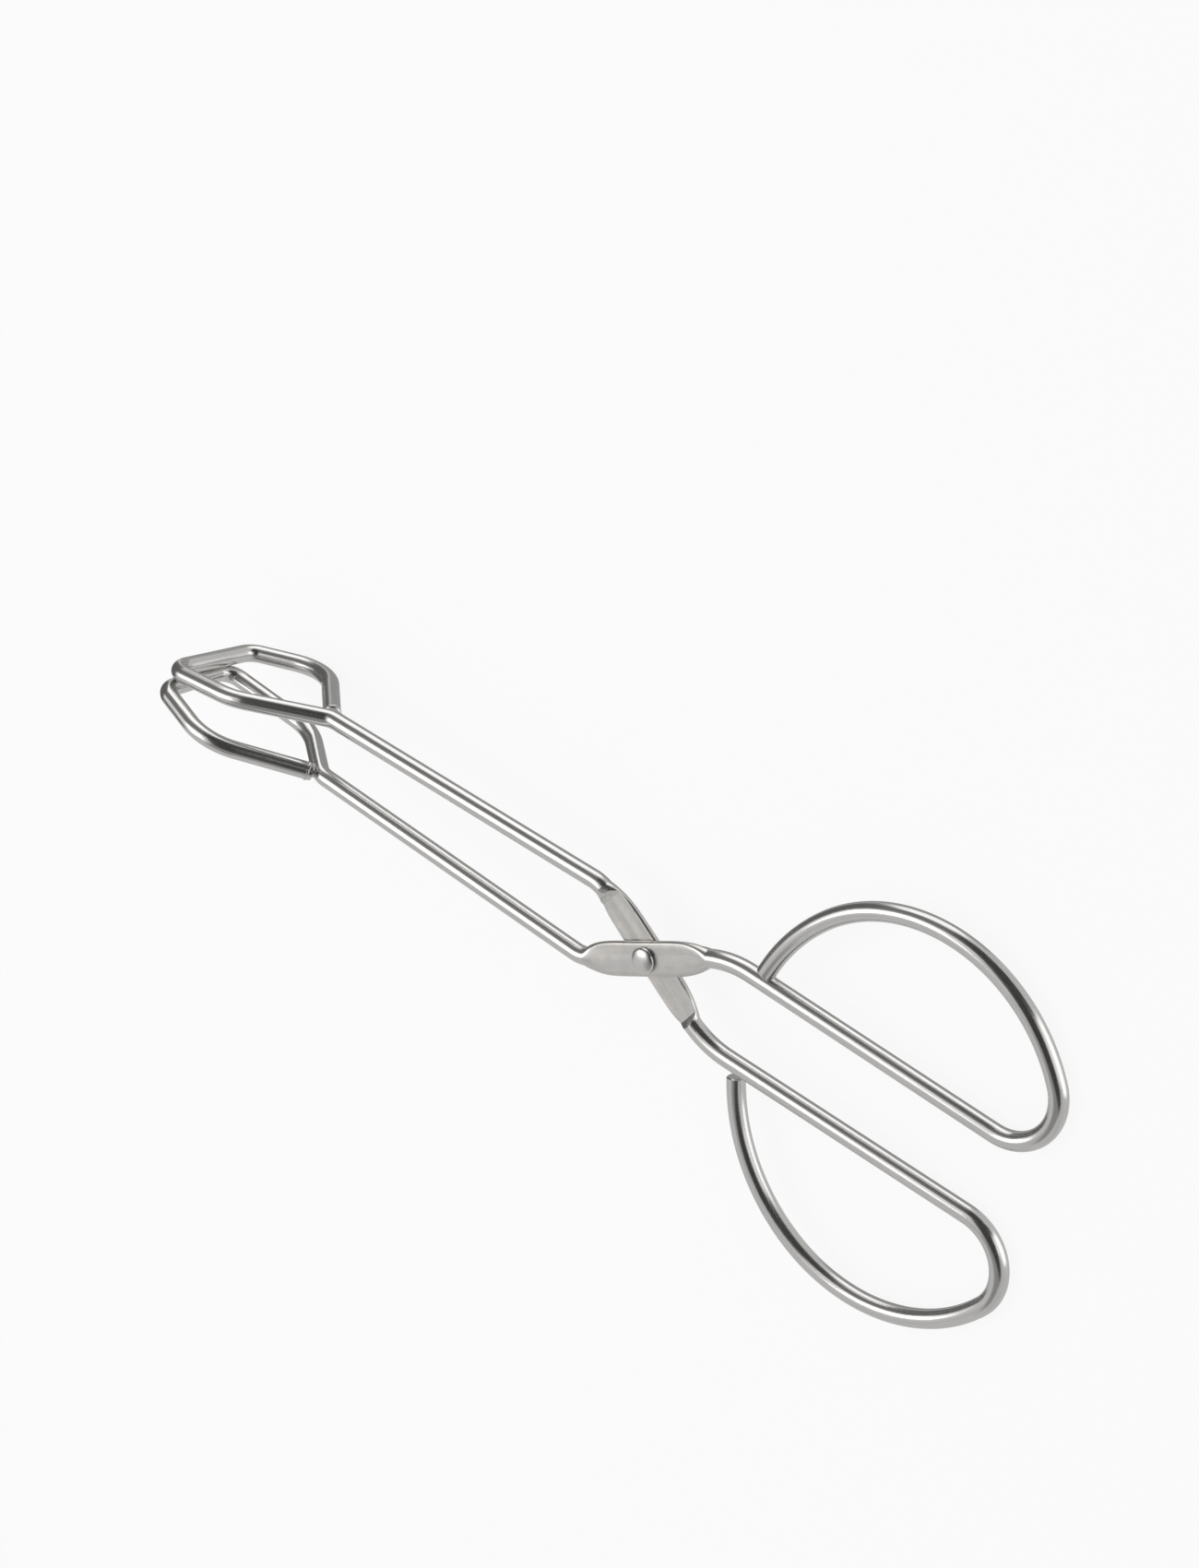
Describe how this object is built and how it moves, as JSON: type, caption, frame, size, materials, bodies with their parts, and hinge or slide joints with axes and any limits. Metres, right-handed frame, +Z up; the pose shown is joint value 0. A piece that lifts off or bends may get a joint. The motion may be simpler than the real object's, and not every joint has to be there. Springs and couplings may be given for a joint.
{
  "type": "kitchen tongs",
  "caption": "Scissor-action kitchen tongs of bent steel wire, with six-sided loop jaws and half-round finger bows crossing at a rivet.",
  "frame": {"origin": "middle of the part's box, on the table that the tongs lie on", "axes": "+X along the tongs from the jaws to the finger bows, +Y across them to the upper finger bow, +Z up off the table, to the rivet's domed side"},
  "size_m": [0.2616, 0.101, 0.0423],
  "materials": {
    "wire_steel": "satin polished wire, brushed where it is pressed flat",
    "rivet_steel": "polished",
    "weld_steel": "as welded, lightly brushed"
  },
  "bodies": {
    "upper_jaw_side": {"upper_jaw_half": "wire_steel", "upper_jaw_weld": "weld_steel", "lower_bow_weld": "weld_steel", "pivot_rivet": "rivet_steel"},
    "lower_jaw_side": {"lower_jaw_half": "wire_steel", "lower_jaw_weld": "weld_steel", "upper_bow_weld": "weld_steel"}
  },
  "joints": [
    {"name": "jaw_pivot", "type": "hinge", "parent": "upper_jaw_side", "child": "lower_jaw_side", "pos_m": [0.02122, 0, 0.01097], "axis": [0.081, 0, 0.9967], "range_deg": [0, 40]}
  ]
}
